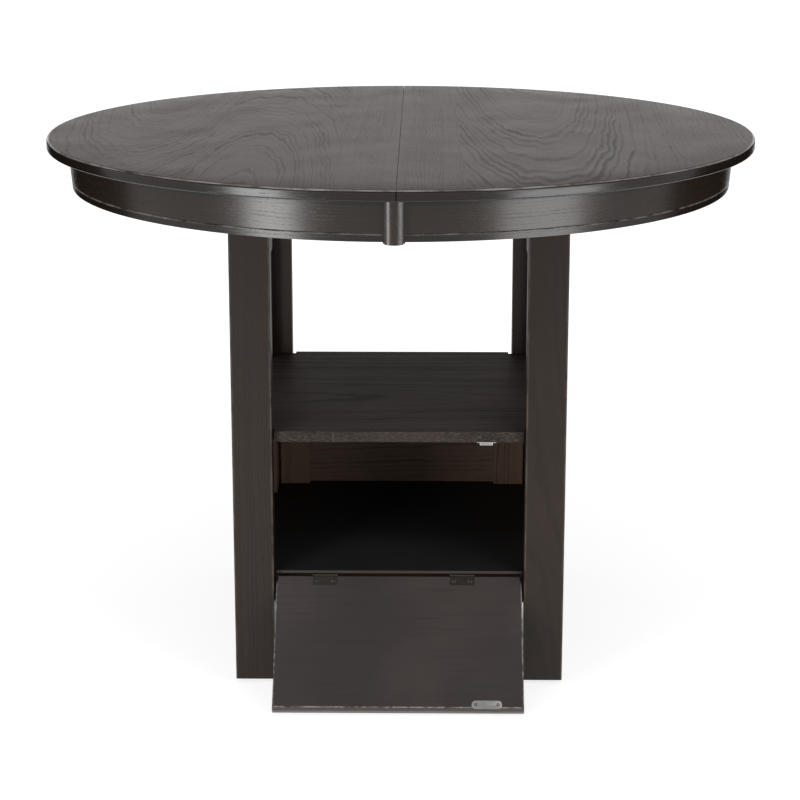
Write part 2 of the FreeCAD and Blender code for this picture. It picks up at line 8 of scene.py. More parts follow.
import bpy
import numpy as np
from bpy.props import FloatProperty, FloatVectorProperty, PointerProperty
from mathutils import Matrix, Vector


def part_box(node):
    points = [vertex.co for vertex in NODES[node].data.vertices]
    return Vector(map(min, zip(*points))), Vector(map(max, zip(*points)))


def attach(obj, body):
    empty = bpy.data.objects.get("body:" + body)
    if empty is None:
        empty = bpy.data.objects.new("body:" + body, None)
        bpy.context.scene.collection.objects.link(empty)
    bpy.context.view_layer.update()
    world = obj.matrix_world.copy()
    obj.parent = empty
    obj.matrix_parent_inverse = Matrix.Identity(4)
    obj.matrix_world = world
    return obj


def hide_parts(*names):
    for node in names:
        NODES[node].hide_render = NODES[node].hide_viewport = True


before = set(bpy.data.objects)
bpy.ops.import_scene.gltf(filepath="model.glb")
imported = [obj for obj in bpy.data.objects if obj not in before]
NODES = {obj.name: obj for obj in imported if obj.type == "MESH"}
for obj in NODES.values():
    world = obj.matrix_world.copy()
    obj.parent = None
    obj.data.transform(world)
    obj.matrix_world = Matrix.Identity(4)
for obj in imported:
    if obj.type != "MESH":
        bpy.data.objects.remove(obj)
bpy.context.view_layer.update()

bl_info = {
    "name": "Round Storage Table",
    "version": (1, 0, 0),
    "blender": (4, 5, 0),
    "location": "View3D > Sidebar > Table",
    "description": "Dresses a round extending table with a storage cabinet in stained oak",
    "category": "Object",
}

MM = 0.001
HAIR = 0.002 * MM
HOLE_POINTS = 49
ENDS = ("front", "rear")
SIDES = {"left": -1.0, "right": 1.0}
# A stain's lightest tone as a share of its mean, before clouds, rings and pores darken it
LIFT = 1.25


# Settings that a user would change

def length(name, description, millimetres):
    """A size in millimetres as a length property."""
    return FloatProperty(name=name, description=description, default=millimetres * MM, unit="LENGTH",
                         precision=4)


def colour(name, description, red, green, blue):
    """A linear colour property."""
    return FloatVectorProperty(name=name, description=description, default=(red, green, blue), size=3,
                               min=0.0, max=1.0, subtype="COLOR")


class TableShape(bpy.types.PropertyGroup):
    """Sizes of the surfaces that are worked out here."""
    rim_upper: length("Upper rim round", "Rounding of the rim's upper edge", 5.0)
    rim_lower: length("Lower rim round", "Rounding of the rim's lower edge", 3.0)
    peg_room: length("Peg room", "Gap between a peg and its hole in the right half", 0.4)
    glide_round: length("Glide round", "Rounding of a glide's lower edge", 2.2)
    screw_head: length("Screw head", "Radius of a countersunk screw head", 3.1)
    plate_edge: length("Plate edge", "Rounding of a metal plate's edges", 0.35)
    seam_ease: length("Seam ease", "Width of the slope along the upper edges of the seam", 0.7)


class TableFinish(bpy.types.PropertyGroup):
    """Colours and grain of the finishes."""
    stain: colour("Stain", "Stain of the frame, ring and top", 0.0225, 0.0142, 0.0098)
    # stain_pore is also the darkest tone of the painted shade on the ring and on the top's rim
    stain_pore: colour("Pores", "Stain that has gathered in the pores", 0.0042, 0.0034, 0.0031)
    # edge is also the painted highlight along the cabinet floor's front edge and partly a painted highlight
    # on the legs' upright edges; it also tints the shelf's edge strip and the drop front's foot
    edge: colour("Worn edge", "Stain that is rubbed thin along the edges", 0.085, 0.066, 0.054)
    # rubbed is the painted highlight along the top's rim, partly wear and partly a painted highlight on the
    # groove's lip, and the pale lines on the drop front
    rubbed: colour("Rubbed line", "Bare line along the rim, the groove and the drop front", 0.25, 0.23, 0.22)
    shelf: colour("Shelf", "Stain of the shelf", 0.0860, 0.0660, 0.0600)
    door: colour("Door inside", "Paint on the inside of the drop front", 0.0278, 0.0204, 0.0192)
    board: colour("Cabinet floor", "Black board of the cabinet floor", 0.0190, 0.0190, 0.0192)
    panel: colour("Panels", "Brown stain of the cabinet's panels and cleats", 0.152, 0.098, 0.067)
    bare_wood: colour("Bare wood", "Unstained hardwood of the slides and pegs", 0.42, 0.29, 0.17)
    hinge: colour("Hinges", "Dark metal of the hinges", 0.060, 0.054, 0.049)
    screws: colour("Screws", "Metal of the screw heads", 0.11, 0.10, 0.095)
    steel: colour("Steel", "Bright steel of the catch and its plate", 0.56, 0.56, 0.56)
    plastic: colour("Plastic", "Dark plastic of the glides", 0.012, 0.012, 0.012)
    ring_gap: length("Ring gap", "Mean distance between growth rings", 7.5)
    lip: length("Lip", "Height of the groove's lower lip above the ring's lower edge", 11.3)
    rail_joint: FloatProperty(name="Edge joint", description="Place of the joint in the shelf's edge strip, "
                              "as a share of its length from the left", default=0.291, subtype="FACTOR")
    strip: length("Strip", "Half width of the straight-grained strip along the seam", 103.0)
    arch: length("Arch", "Distance of the inner arches of the grain from the seam", 237.0)
    joint: length("Joint", "Distance of the joint in the left half's veneer from the seam", 318.0)
    far_arch: length("Far arch", "Distance of the outer arches of the left half from the seam", 445.0)


class TableStage(bpy.types.PropertyGroup):
    """Camera, lamps and floor."""
    distance: length("Distance", "Camera's distance in front of the table's middle", 3368.0)
    height: length("Height", "Camera's height above the floor", 1409.0)
    aside: length("Aside", "Camera's distance to the right of the table's middle", 37.0)
    pitch: FloatProperty(name="Pitch", description="Camera's angle below the horizon",
                         default=math.radians(12.57), subtype="ANGLE")
    turn: FloatProperty(name="Turn", description="Camera's angle to the left",
                        default=math.radians(0.65), subtype="ANGLE")
    lens: FloatProperty(name="Lens", description="Focal length in millimetres on a 36 mm sensor",
                        default=87.5)
    rise: FloatProperty(name="Rise", description="Upward shift of the view, in frame widths",
                        default=-0.16)
    key: FloatProperty(name="Key", description="Power of the left lamp in watts", default=11.5)
    fill: FloatProperty(name="Fill", description="Power of the right lamp in watts", default=11.0)
    upper: FloatProperty(name="Upper", description="Power of each upper front lamp in watts", default=6.0)
    overhead: FloatProperty(name="Overhead", description="Power of the overhead lamp in watts", default=14.0)
    sky: FloatProperty(name="Sky", description="Strength of the light from all round", default=0.50)


# Meshes from surface grids

def grid_faces(rows, columns, start=0):
    """Quads of a grid: corner (i, j) is start + i * columns + j, and each cell joins four of them."""
    i, j = np.meshgrid(np.arange(rows - 1), np.arange(columns - 1), indexing="ij")
    first = start + i * columns + j
    quads = np.stack((first, first + 1, first + columns + 1, first + columns), axis=-1)
    return quads.reshape(-1, 4)


class Surface:
    """Grids of points that together make one closed piece."""

    def __init__(self):
        self.points = []
        self.faces = []
        self.count = 0

    def add(self, grid, flip=False):
        """Adds a grid of points, shaped rows by columns by three."""
        rows, columns = grid.shape[:2]
        faces = grid_faces(rows, columns, self.count)
        self.faces.append(faces[:, ::-1] if flip else faces)
        self.points.append(grid.reshape(-1, 3))
        self.count += rows * columns

    def make(self, name, body, made, sharp=32.0):
        """Makes the piece with a material, and lets it ride on a body.

        The grids' shared edges are merged, and edges up to an angle in degrees are smoothed.
        """
        mesh = bpy.data.meshes.new(name)
        mesh.from_pydata(np.concatenate(self.points), [], np.concatenate(self.faces).tolist())
        mesh.validate()
        piece = bpy.data.objects.new(name, mesh)
        bpy.context.scene.collection.objects.link(piece)
        merge = piece.modifiers.new("merge", "WELD")
        merge.merge_threshold = HAIR
        bpy.context.view_layer.update()
        whole = bpy.data.meshes.new_from_object(piece.evaluated_get(bpy.context.evaluated_depsgraph_get()))
        piece.modifiers.clear()
        piece.data = whole
        bpy.data.meshes.remove(mesh)
        whole.name = name
        whole.polygons.foreach_set("use_smooth", np.ones(len(whole.polygons), dtype=bool))
        whole.set_sharp_from_angle(angle=math.radians(sharp))
        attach(piece, body)
        whole.materials.append(made)
        return piece


def arc(centre, radius, start, end, count):
    """Points on a circle: centre + radius (cos t, sin t), for t from start to end in degrees."""
    turn = np.radians(np.linspace(start, end, count))
    return np.stack((centre[0] + radius * np.cos(turn), centre[1] + radius * np.sin(turn)), axis=-1)


def lathe(profile, count):
    """A profile of radius and height turned once about Z: (r cos t, r sin t, h)."""
    turn = np.radians(np.linspace(0.0, 360.0, count))
    radius, height = profile[:, 0], profile[:, 1]
    return np.stack((np.outer(np.cos(turn), radius), np.outer(np.sin(turn), radius),
                     np.broadcast_to(height, (count, len(height)))), axis=-1)


def frame_of(normal, lead):
    """Three unit columns: an axis along lead, the one square to both, and the normal."""
    up = np.asarray(normal, float) / np.linalg.norm(normal)
    first = np.asarray(lead, float) - np.dot(lead, up) * up
    first /= np.linalg.norm(first)
    return np.stack((first, np.cross(up, first), up), axis=-1)


DOWNWARD = frame_of((0, 0, -1), (1, 0, 0))
FORWARD = frame_of((0, -1, 0), (1, 0, 0))


def placed(grid, spot, axes):
    """A grid turned to the given axes and moved to a spot."""
    return grid @ axes.T + np.asarray(spot, float)


def corners(node):
    """A node's lowest and highest corners as arrays."""
    low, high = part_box(node)
    return np.array(low), np.array(high)


def node_points(node):
    """All points of a node's mesh, one in each row."""
    mesh = NODES[node].data
    points = np.empty(len(mesh.vertices) * 3)
    mesh.vertices.foreach_get("co", points)
    return points.reshape(-1, 3)


def local_box(node, axes):
    """A node's lowest and highest numbers along three axes, given as columns."""
    local = node_points(node) @ axes
    return local.min(axis=0), local.max(axis=0)


def door_axes():
    """The open drop front's directions: along X, down the panel, and out of its inner face.

    They are the principal axes of the strike plate's corners, longest first.
    """
    points = node_points("strike_plate")
    _, _, axes = np.linalg.svd(points - points.mean(axis=0), full_matrices=False)
    normal = axes[2] * np.sign(axes[2][2])
    down = axes[1] * -np.sign(axes[1][2])
    return np.stack((np.cross(down, normal), down, normal), axis=-1)


# Shader maths

class Wire:
    """A socket of a node tree, with arithmetic that adds Math nodes."""

    def __init__(self, net, socket):
        self.net = net
        self.socket = socket

    def maths(self, operation, first, second=0.0):
        """A Math node of two values."""
        return self.net.node("ShaderNodeMath", {"operation": operation}, {0: first, 1: second})

    def __add__(self, other):
        return self.maths("ADD", self, other)

    def __radd__(self, other):
        return self.maths("ADD", other, self)

    def __sub__(self, other):
        return self.maths("SUBTRACT", self, other)

    def __rsub__(self, other):
        return self.maths("SUBTRACT", other, self)

    def __mul__(self, other):
        return self.maths("MULTIPLY", self, other)

    def __truediv__(self, other):
        return self.maths("DIVIDE", self, other)

    def __pow__(self, other):
        return self.maths("POWER", self, other)

    def __abs__(self):
        return self.maths("ABSOLUTE", self)

    def least(self, other):
        """The lesser of two values."""
        return self.maths("MINIMUM", self, other)

    def most(self, other):
        """The greater of two values."""
        return self.maths("MAXIMUM", self, other)


class Net:
    """The node tree of a material or a world."""

    def __init__(self, owner):
        owner.use_nodes = True
        self.tree = owner.node_tree
        self.tree.nodes.clear()

    def node(self, kind, settings=None, inputs=None, output=0):
        """A node of a type with its settings, then the values or wires of its inputs."""
        node = self.tree.nodes.new(kind)
        for key, value in (settings or {}).items():
            setattr(node, key, value)
        for key, value in (inputs or {}).items():
            if isinstance(value, Wire):
                self.tree.links.new(value.socket, node.inputs[key])
            else:
                node.inputs[key].default_value = value
        return Wire(self, node.outputs[output]) if len(node.outputs) else None

    def place(self):
        """The object's own coordinates as three wires."""
        where = self.node("ShaderNodeTexCoord", output="Object")
        return [self.node("ShaderNodeSeparateXYZ", None, {0: where}, axis) for axis in "XYZ"]

    def noise(self, place, scale=1.0, detail=2.0):
        """Smooth noise about one half at a place of three values."""
        point = self.node("ShaderNodeCombineXYZ", None, dict(enumerate(place)))
        return self.node("ShaderNodeTexNoise", None, {"Vector": point, "Scale": scale, "Detail": detail})

    def step(self, value, low, high, first=0.0, last=1.0):
        """A smooth step from first to last while value goes from low to high."""
        return self.node("ShaderNodeMapRange", {"interpolation_type": "SMOOTHSTEP"},
                         {0: value, 1: low, 2: high, 3: first, 4: last})

    def fall(self, value, low, high):
        """A smooth step from one down to zero while value goes from low to high."""
        return self.step(value, low, high, 1.0, 0.0)

    def mix(self, share, first, second):
        """A colour between two colours."""
        both = {0: share, 6: self.paint(first), 7: self.paint(second)}
        return self.node("ShaderNodeMix", {"data_type": "RGBA"}, both, 2)

    def paint(self, value):
        """A colour with its fourth number, or a wire as it is."""
        return value if isinstance(value, Wire) else (*value, 1.0)

    def bump(self, height, strength, distance):
        """A normal from a height."""
        return self.node("ShaderNodeBump", None, {"Height": height, "Strength": strength,
                                                  "Distance": distance})

    def surface(self, **inputs):
        """The finished surface from a Principled shader's inputs, with blanks for lower strokes."""
        named = {key.replace("_", " "): value for key, value in inputs.items()}
        self.output(self.node("ShaderNodeBsdfPrincipled", None, named))

    def output(self, shader, kind="Material"):
        """Joins a shader to the output of a material or a world."""
        self.node(f"ShaderNodeOutput{kind}", None, {"Surface": shader})


def material(name):
    """A new material and its net."""
    made = bpy.data.materials.new(name)
    return made, Net(made)


def scaled(tint, share):
    """A colour times a share."""
    return [value * share for value in tint]


def around(x, y, radius):
    """Distance round a circle about Z: radius * atan2(y, x)."""
    return y.maths("ARCTAN2", y, x) * radius


def rubbed(net, x, y, z, fine=1.0, low=0.35):
    """Patches from 0 to 1 that break up rubbed wear and painted highlights, with smaller ones where fine is
    above one.
    """
    return net.step(net.noise((x * fine, y * fine, z * fine), 70.0, 3.0), low, 0.68)


def ring_grain(net, across, along, depth, gap, slope=0.16, base=0.12, share=1.0, ripple=28.0):
    """Growth rings of a plain-sawn board: (ring band, pores), each from 0 to 1.

    The board cuts a log whose pith leans away along the grain, so a point's ring is its distance from
    the pith, sqrt(side ^ 2 + rise ^ 2) with rise = base + slope along, which draws arches. A share of
    the rise below one straightens the arches, down to plain lines at zero. ripple is how many waves a
    metre of width holds.
    """
    side_sway, rise_sway, ring_wobble = 60.0 * MM, 35.0 * MM, 16.0 * MM
    sway = net.noise((across * 2.6, along * 0.9, depth * 2.6), 1.0, 2.0) - 0.5
    side = across + sway * side_sway
    rise = (along * slope + base + sway * rise_sway) * share
    reach = (side * side + rise * rise) ** 0.5
    wobble = net.noise((across * ripple, along * 7.0, depth * 9.0), 1.0, 3.0) - 0.5
    count = (reach + wobble * ring_wobble) / gap
    turn = count.maths("FRACT", count)
    year = net.noise(((count - turn) * 0.83, 0.5, 0.5), 1.0, 0.0)
    band = net.step(turn, 0.0, 0.18) * net.fall(turn, 0.26, 0.75) * net.step(year, 0.30, 0.72, 0.15)
    streak = net.noise((across * 1100.0, along * 48.0, depth * 1100.0), 1.0, 1.0)
    pores = net.step(streak, 0.54, 0.66) * (band * 0.75 + 0.25)
    return band, pores


def stained_oak(name, tint, pore, grain, gloss, sheen, lines, edges=None, edge_tint=None, polish=None):
    """Open-pored oak under a dark stain and lacquer.

    grain gives the ring band and the pores from the place, and tint may give a colour from it, which on the
    ring and the top holds painted shade. gloss is the roughness, sheen the strength of reflections and lines
    that of the rings. edges, where there is one, gives a mask of edges that take edge_tint, for rubbed wear
    and for painted highlights, and polish one of places where the lacquer is glossier.
    """
    made, net = material(name)
    x, y, z = net.place()
    band, pores = grain(net, x, y, z)
    cloud = net.noise((x, y, z), 5.0, 3.0)
    bright = tint(net, x, y, z) if callable(tint) else scaled(tint, LIFT)
    tone = net.mix(cloud * 0.4, bright, (0.0, 0.0, 0.0))
    tone = net.mix((band * lines + pores * 0.5).least(1.0), tone, pore)
    if edges:
        tone = net.mix(edges(net, x, y, z), tone, edge_tint)
    smear = net.noise((x, y, z), 11.0, 3.0)
    rough = gloss + band * 0.07 + pores * 0.12 + (smear - 0.5) * 0.10
    if polish:
        rough = rough - polish(net, x, y, z) * 0.12
    height = 1.0 - pores * 0.7 - band * 0.3
    net.surface(Base_Color=tone, Roughness=rough, Specular_IOR_Level=sheen,
                Normal=net.bump(height, 0.35, 0.2 * MM))
    return made


def dress(made, *names):
    """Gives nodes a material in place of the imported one."""
    for name in names:
        for slot in NODES[name].material_slots:
            slot.material = made


def shared(scene):
    """The three groups of settings of a scene."""
    return scene.table_shape, scene.table_finish, scene.table_stage


# Finishes

def frame_oak(finish):
    """Stained oak with upright grain, lighter along the legs' upright edges: partly rubbed wear, partly a
    painted highlight.
    """
    low, high = corners("rear_right_leg")

    def grain(net, x, y, z):
        return ring_grain(net, x + y * 0.8, z, y - x * 0.8, finish.ring_gap * 0.8, slope=0.02, base=0.09)

    def edges(net, x, y, z):
        # lighter along the legs' upright arrises: partly rubbed wear, partly a painted highlight
        aside = (abs(x) - low[0]).least(high[0] - abs(x))
        ahead = (abs(y) - low[1]).least(high[1] - abs(y))
        wear_and_highlight = net.fall(abs(aside) + abs(ahead), 1.2 * MM, 4.2 * MM)
        return wear_and_highlight * rubbed(net, x, y, z, 0.5, 0.25)

    return stained_oak("stained frame oak", finish.stain, finish.stain_pore, grain, gloss=0.40, sheen=0.25,
                       lines=0.35, edges=edges, edge_tint=finish.edge)


def ring_oak(finish):
    """Stained oak of the ring: its grain follows the curve, under a glossier coat.

    The groove's lower lip has a pale line, partly rubbed wear and partly a painted highlight. Painted shade
    darkens the band below the lip, and a painted shadow darkens the corner under the top.
    """
    low, high = corners("left_apron")
    lip = low[2] + finish.lip

    def tint(net, x, y, z):
        # painted shade: darker below the groove's lip, and a painted shadow in the corner under the top's
        # overhang
        thin = net.step(z, lip - 1.0 * MM, lip, 0.45)
        thin = thin * net.step(z, high[2] - 15.0 * MM, high[2] - 8.0 * MM, 1.0, 0.25)
        return net.mix(thin, finish.stain_pore, scaled(finish.stain, LIFT))

    def grain(net, x, y, z):
        return ring_grain(net, z, around(x, y, high[1]), abs(x) * 0.2, finish.ring_gap * 0.7,
                          slope=0.012, base=0.05)

    def edges(net, x, y, z):
        # pale line on the groove's lower lip: partly rubbed wear, partly a painted highlight
        return net.fall(abs(z - lip), 0.5 * MM, 1.2 * MM) * rubbed(net, x, y, z, 0.6, 0.25)

    return stained_oak("stained ring oak", tint, finish.stain_pore, grain, gloss=0.22, sheen=0.5,
                       lines=0.45, edges=edges, edge_tint=finish.rubbed)


def moulding_oak(finish):
    """Stained oak of the bull-nosed strips, with upright grain."""
    def grain(net, x, y, z):
        return ring_grain(net, x, z, y, finish.ring_gap * 0.6, slope=0.02, base=0.05)

    return stained_oak("stained moulding oak", finish.stain, finish.stain_pore, grain, gloss=0.24,
                       sheen=0.5, lines=0.3)


def top_oak(finish):
    """Stained oak veneer of the top, with its grain from front to back and a rim of its own.

    By the seam a strip has straight grain. Beyond it are three leaves with arched grain: one on the right
    and the outer one on the left point to the front, and the inner one on the left to the back. A painted
    highlight runs along the rim's upper rounded edge, and painted shade darkens the rim below it, with a
    painted shadow line at its lower round. The arches fade to both sides.
    """
    low, high = corners("left_top")
    under, level, radius = low[2], high[2], high[1]
    blur = 1.0 * MM
    right_fade, left_fade = (360.0 * MM, 400.0 * MM), (-480.0 * MM, -340.0 * MM)

    def rim(net, x, y, z):
        return net.step((x * x + y * y) ** 0.5, radius - 4.5 * MM, radius - 4.0 * MM)

    def tint(net, x, y, z):
        # painted shade: the rim's upright face darker, and a painted shadow line at its lower round
        thin = net.step(z, level - 4.0 * MM, level - 2.5 * MM, 0.45)
        thin = thin * net.step(z, under + 2.5 * MM, under + 4.5 * MM)
        return net.mix(thin, finish.stain_pore, scaled(finish.stain, LIFT))

    def edges(net, x, y, z):
        # painted highlight: a pale line along the rim's upper rounded edge, broken into patches
        line = net.step(z, level - 2.7 * MM, level - 2.0 * MM)
        line = line * net.fall(z, level - 0.8 * MM, level - 0.3 * MM)
        return line * rim(net, x, y, z) * rubbed(net, x, y, z, 0.4, 0.2)

    def grain(net, x, y, z):
        edge = rim(net, x, y, z)
        face = 1.0 - edge
        right = net.step(x, -blur, blur)
        inner = net.step(x, -finish.joint - blur, -finish.joint + blur) * (1.0 - right)
        strip = net.fall(abs(x), finish.strip - blur, finish.strip + blur)
        middle = right * finish.arch - inner * finish.arch - (1.0 - right - inner) * finish.far_arch
        gap = (right * 0.20 + 0.85) * (1.0 - strip) * finish.ring_gap + strip * finish.ring_gap * 0.6
        across = (x - middle) * face + z * edge
        along = (inner * 2.0 - 1.0) * y * face + around(x, y, radius) * edge
        band, pores = ring_grain(net, across, along, x * face, gap, slope=0.13, base=0.10,
                                 share=1.0 - strip * face, ripple=42.0)
        faint = net.step(net.noise((x * 5.0, y * 2.2, z), 1.0, 2.0), 0.34, 0.60, 0.30)
        faint = faint * net.step(x, *right_fade, 1.0, 0.35) * net.step(x, *left_fade, 0.45)
        return band * faint * (1.0 - strip * 0.5), pores

    return stained_oak("stained top oak", tint, finish.stain_pore, grain, gloss=0.31, sheen=0.50,
                       lines=0.80, edges=edges, edge_tint=finish.rubbed, polish=rim)


def shelf_oak(finish):
    """Stained oak veneer of the shelf, with its grain from side to side and a rubbed strip along its front.

    The strip is open-pored and has a joint in it.
    """
    low, high = corners("shelf")
    joint = low[0] + (high[0] - low[0]) * finish.rail_joint

    def strip(net, y):
        return net.fall(y, low[1] + 0.4 * MM, low[1] + 1.6 * MM)

    def tint(net, x, y, z):
        return net.mix(strip(net, y), finish.shelf, scaled(finish.shelf, 0.46))

    def grain(net, x, y, z):
        return ring_grain(net, y + 60.0 * MM, x + 100.0 * MM, z, finish.ring_gap * 1.3, slope=0.07, base=0.06)

    def edges(net, x, y, z):
        speck = net.noise((x * 130.0, y * 130.0, z * 900.0), 1.0, 3.0)
        speck = net.step(speck, 0.44, 0.68, 0.0, 0.8)
        butt = net.fall(abs(x - joint), 0.4 * MM, 1.0 * MM)
        return strip(net, y) * (speck.most(butt) * 0.9 + 0.1)

    return stained_oak("stained shelf oak", tint, finish.stain_pore, grain, gloss=0.50, sheen=0.12,
                       lines=0.75, edges=edges, edge_tint=scaled(finish.edge, 1.2))


def door_paint(finish):
    """Smooth dark paint inside the drop front, paler along its side edges and over its foot, and stained oak
    outside it.
    """
    low, high = corners("door_panel")
    axes = door_axes()
    outer = local_box("door_panel", axes)[0][2]
    foot, side = low[2], high[0]
    made, net = material("drop front paint")
    x, y, z = net.place()
    brush = net.noise((x * 9.0, y * 260.0, z * 260.0), 1.0, 3.0)
    cloud = net.noise((x, y, z), 7.0, 3.0)
    hazy = net.step(net.noise((x, y, z), 4.5, 4.0), 0.42, 0.68)
    tone = net.mix(cloud, scaled(finish.door, 0.72), scaled(finish.door, 1.12))
    tone = net.mix(hazy * 0.8, tone, scaled(finish.door, 1.5))
    tone = net.mix(net.step(brush, 0.5, 0.8) * 0.35, tone, finish.stain_pore)
    # a paler band over the drop front's foot
    band = net.fall(z, foot + 13.5 * MM, foot + 15.5 * MM)
    tone = net.mix(band * (rubbed(net, x, y, z, 5.0, 0.2) * 0.4 + 0.4), tone, finish.edge)
    # paler lines along the sides and along the edge of the foot
    lines = net.step(abs(x), side - 2.6 * MM, side - 1.2 * MM)
    lines = lines.most(net.fall(abs(z - foot - 14.7 * MM), 0.4 * MM, 1.2 * MM))
    tone = net.mix(lines * rubbed(net, x, y, z, 1.6, 0.3), tone, finish.rubbed)
    slope = y * axes[1, 1] + z * axes[2, 1]
    ring, pores = ring_grain(net, slope, x, y * 0.1, finish.ring_gap, slope=0.02, base=0.06)
    oak = net.mix(ring * 0.45 + pores * 0.4, finish.stain, finish.stain_pore)
    depth = y * axes[1, 2] + z * axes[2, 2]
    tone = net.mix(net.fall(depth, outer + 0.6 * MM, outer + 1.6 * MM), tone, oak)
    rough = 0.44 + (cloud - 0.5) * 0.22 - hazy * 0.06 + (brush - 0.5) * 0.06
    net.surface(Base_Color=tone, Roughness=rough, Specular_IOR_Level=0.45,
                Normal=net.bump(brush, 0.12, 0.2 * MM))
    return made


def black_board(finish):
    """Hard black board of the cabinet floor, with a fine tooth and a painted highlight along its front edge.
    """
    front = corners("cabinet_floor")[0][1]
    made, net = material("black board")
    x, y, z = net.place()
    tooth = net.noise((x, y, z), 900.0, 2.0)
    cloud = net.noise((x, y, z), 9.0, 3.0)
    tone = net.mix(cloud, scaled(finish.board, 0.8), scaled(finish.board, 1.25))
    # painted highlight: a pale line along the board's front top edge
    tone = net.mix(net.fall(y, front + 0.2 * MM, front + 1.2 * MM) * 0.5, tone, finish.edge)
    net.surface(Base_Color=tone, Roughness=0.62 + (cloud - 0.5) * 0.12, Specular_IOR_Level=0.12,
                Normal=net.bump(tooth, 0.2, 0.1 * MM))
    return made


def brown_panel(finish, name, level):
    """Stained plywood and cleats of the cabinet, with upright or level grain, left browner inside."""
    side = corners("right_side_panel")[0][0]
    back = corners("back_panel")[0][1]
    floor = corners("cabinet_floor")[0][2]
    pith = floor + 160.0 * MM

    def tint(net, x, y, z):
        inside = net.fall(abs(x), side + 0.3 * MM, side + 1.2 * MM) * net.step(z, floor - 1.0 * MM, floor)
        inside = inside * net.fall(y, back + 0.3 * MM, back + 1.2 * MM)
        return net.mix(inside, scaled(finish.stain, LIFT), scaled(finish.panel, LIFT))

    def grain(net, x, y, z):
        if level:
            return ring_grain(net, z - pith, x + y + 300.0 * MM, y, finish.ring_gap * 1.2, slope=0.10,
                              base=0.0)
        return ring_grain(net, x + y, z, y - x, finish.ring_gap * 0.9, slope=0.03, base=0.08)

    return stained_oak(name, tint, finish.stain_pore, grain, gloss=0.46, sheen=0.3,
                       lines=0.30 if level else 0.4)


def bare_hardwood(finish):
    """Unstained hardwood of the slides and pegs, with its grain along X."""
    def grain(net, x, y, z):
        return ring_grain(net, y, x, z, finish.ring_gap * 0.5, slope=0.01, base=0.07)

    return stained_oak("bare hardwood", finish.bare_wood, scaled(finish.bare_wood, 0.55), grain, gloss=0.55,
                       sheen=0.4, lines=0.45)


def brushed_metal(name, tint, gloss):
    """Metal with fine scratches along X and a slight stain."""
    made, net = material(name)
    x, y, z = net.place()
    scratch = net.noise((x * 60.0, y * 2600.0, z * 2600.0), 1.0, 2.0)
    stain = net.noise((x, y, z), 160.0, 3.0)
    net.surface(Base_Color=net.mix(stain, scaled(tint, 0.72), tint), Metallic=1.0,
                Roughness=gloss + (scratch - 0.5) * 0.16 + stain * 0.06,
                Normal=net.bump(scratch, 0.15, 0.05 * MM))
    return made


def moulded_plastic(name, tint):
    """Moulded plastic with a fine spark-worn grain."""
    made, net = material(name)
    x, y, z = net.place()
    tooth = net.noise((x, y, z), 1400.0, 2.0)
    cloud = net.noise((x, y, z), 60.0, 2.0)
    net.surface(Base_Color=net.mix(cloud, scaled(tint, 0.85), scaled(tint, 1.15)),
                Roughness=0.45 + (tooth - 0.5) * 0.14, Specular_IOR_Level=0.4,
                Normal=net.bump(tooth, 0.25, 0.1 * MM))
    return made


# Pieces

def rim_profile(rings, under, level, radius, shape, inset):
    """Half a cross-section of the top, from the middle of its underside round to the middle of its face.

    The rim's two quarter circles and the face lie deeper by inset, and the face's middle by the seam's
    ease. Gives the whole profile, and the rim alone.
    """
    flat = radius - shape.rim_upper
    lower = arc((radius - shape.rim_lower, under + shape.rim_lower), shape.rim_lower - inset, -90, 0, 7)
    upper = arc((flat, level - shape.rim_upper), shape.rim_upper - inset, 0, 90, 11)
    rim = np.concatenate((lower, upper))
    bottom = np.stack((rings, np.full_like(rings, under)), axis=-1)
    face = np.stack((rings[-2::-1], np.full(len(rings) - 1, level - inset)), axis=-1)
    face[-1, 1] = level - shape.seam_ease
    return np.concatenate((bottom, rim, face)), rim


